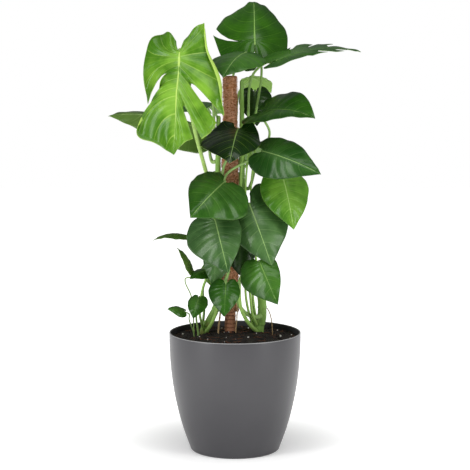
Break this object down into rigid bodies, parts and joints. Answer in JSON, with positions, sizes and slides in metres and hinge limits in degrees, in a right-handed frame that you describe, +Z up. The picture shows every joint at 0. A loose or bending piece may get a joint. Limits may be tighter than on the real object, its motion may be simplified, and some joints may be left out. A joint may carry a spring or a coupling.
{
  "type": "potted monstera plant",
  "caption": "Climbing monstera with heart-shaped and split leaves on a coir pole, planted in a round tapered pot of dark grey plastic.",
  "frame": {"origin": "centre of the pot's flat underside", "axes": "+Z up, -Y to the plant's front, +X to the right seen from the front"},
  "size_m": [0.5712, 0.4304, 1.0254],
  "materials": {
    "pot_plastic": "satin dark grey moulded plastic",
    "potting_soil": "damp dark brown potting soil with a few white grains",
    "pole_wood": "rough orange-brown stake",
    "coir": "matted coconut fibre, orange-brown, matt",
    "green_stem": "smooth satin green stem",
    "aerial_root": "thin pale brown root, matt",
    "leaf_dark": "dark blue-green leaf, satin above, paler below",
    "leaf_green": "mid green leaf, satin above, paler below",
    "leaf_young": "yellow-green young leaf, satin, pale veins",
    "leaf_olive": "olive green leaf, satin"
  },
  "bodies": {
    "root": {"coir_sleeve": "coir", "leaf_back_bottom": "leaf_green", "leaf_back_left": "leaf_green", "leaf_back_low_left": "leaf_green", "leaf_back_low_right": "leaf_green", "leaf_back_middle": "leaf_green", "leaf_back_right": "leaf_green", "leaf_back_top": "leaf_green", "leaf_center_dark": "leaf_dark", "leaf_crown_front": "leaf_green", "leaf_crown_young": "leaf_young", "leaf_far_left": "leaf_olive", "leaf_front_small": "leaf_green", "leaf_heart_left": "leaf_green", "leaf_heart_lower_left": "leaf_green", "leaf_heart_right": "leaf_green", "leaf_low_back": "leaf_dark", "leaf_low_center": "leaf_green", "leaf_low_right": "leaf_green", "leaf_mid_back": "leaf_dark", "leaf_mid_right": "leaf_dark", "leaf_pole_back": "leaf_young", "leaf_right": "leaf_green", "leaf_right_young": "leaf_young", "leaf_side_left": "leaf_olive", "leaf_small_inner": "leaf_green", "leaf_small_left": "leaf_green", "leaf_tiny_left": "leaf_green", "leaf_top": "leaf_green", "leaf_top_right": "leaf_green", "leaf_upright_small": "leaf_olive", "pole_stake": "pole_wood", "pot": "pot_plastic", "root_dark": "aerial_root", "root_front": "aerial_root", "root_right": "aerial_root", "soil": "potting_soil", "stem_back": "green_stem", "stem_left": "green_stem", "stem_right": "green_stem"}
  },
  "joints": []
}
